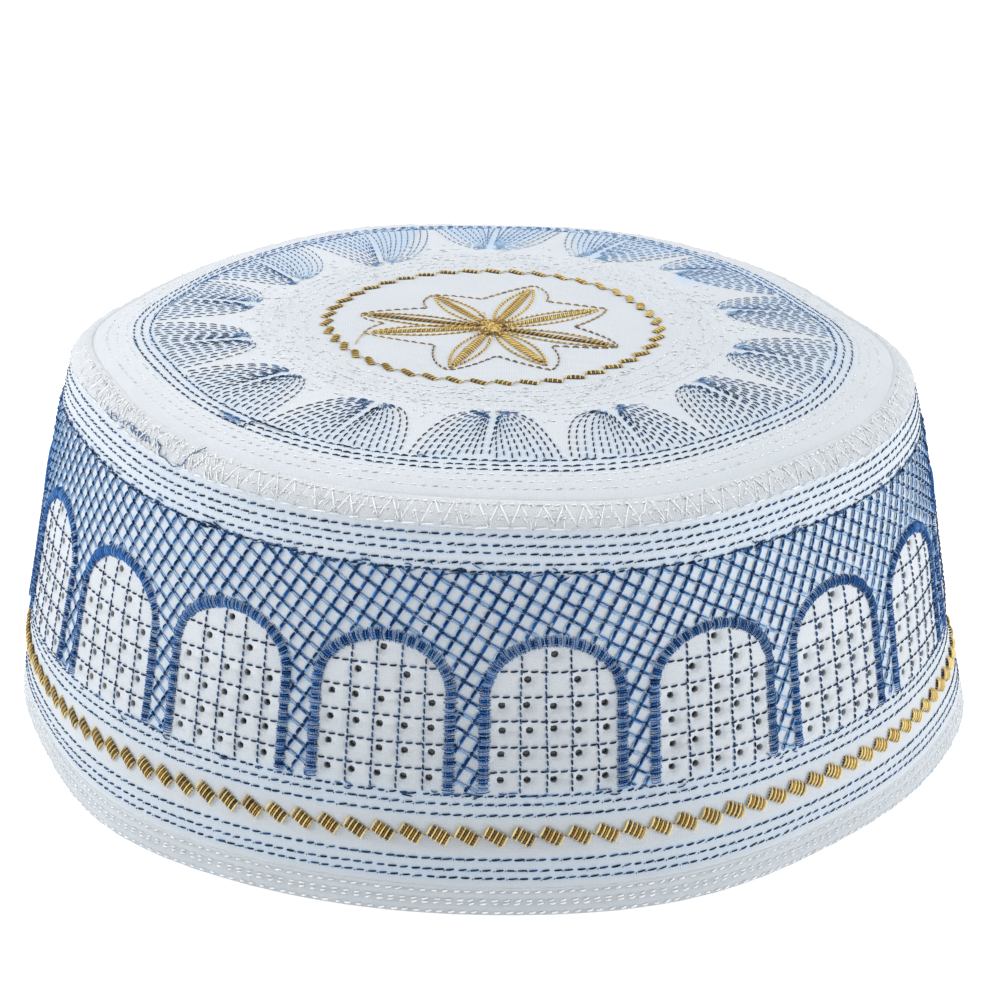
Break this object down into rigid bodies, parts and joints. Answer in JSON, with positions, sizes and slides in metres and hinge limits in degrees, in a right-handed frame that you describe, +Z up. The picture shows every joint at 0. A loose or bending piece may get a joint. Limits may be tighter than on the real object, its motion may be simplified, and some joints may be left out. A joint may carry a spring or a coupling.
{
  "type": "kufi cap",
  "caption": "Round embroidered cloth cap with a flat top, tapering pierced side band, raised arches and an open rim.",
  "frame": {"origin": "on the plane of the rim, under the middle of the cap's box", "axes": "+Z up towards the flat top, -Y towards the front of the cap"},
  "size_m": [0.187, 0.1852, 0.0774],
  "materials": {
    "white_cloth": "matte",
    "white_tape": "matte",
    "blue_thread": "satin",
    "gold_thread": "satin"
  },
  "bodies": {
    "root": {"crown_top": "white_cloth", "shoulder_tape": "white_tape", "side_band": "white_cloth", "rim_hem": "white_cloth", "arch_cord_01": "blue_thread", "arch_cord_02": "blue_thread", "arch_cord_03": "blue_thread", "arch_cord_04": "blue_thread", "arch_cord_05": "blue_thread", "arch_cord_06": "blue_thread", "arch_cord_07": "blue_thread", "arch_cord_08": "blue_thread", "arch_cord_09": "blue_thread", "arch_cord_10": "blue_thread", "arch_cord_11": "blue_thread", "arch_cord_12": "blue_thread", "arch_cord_13": "blue_thread", "arch_cord_14": "blue_thread", "arch_cord_15": "blue_thread", "arch_cord_16": "blue_thread", "arch_cord_17": "blue_thread", "arch_cord_18": "blue_thread", "gold_chain": "gold_thread", "crown_gold_ring": "gold_thread", "flower": "gold_thread"}
  },
  "joints": []
}
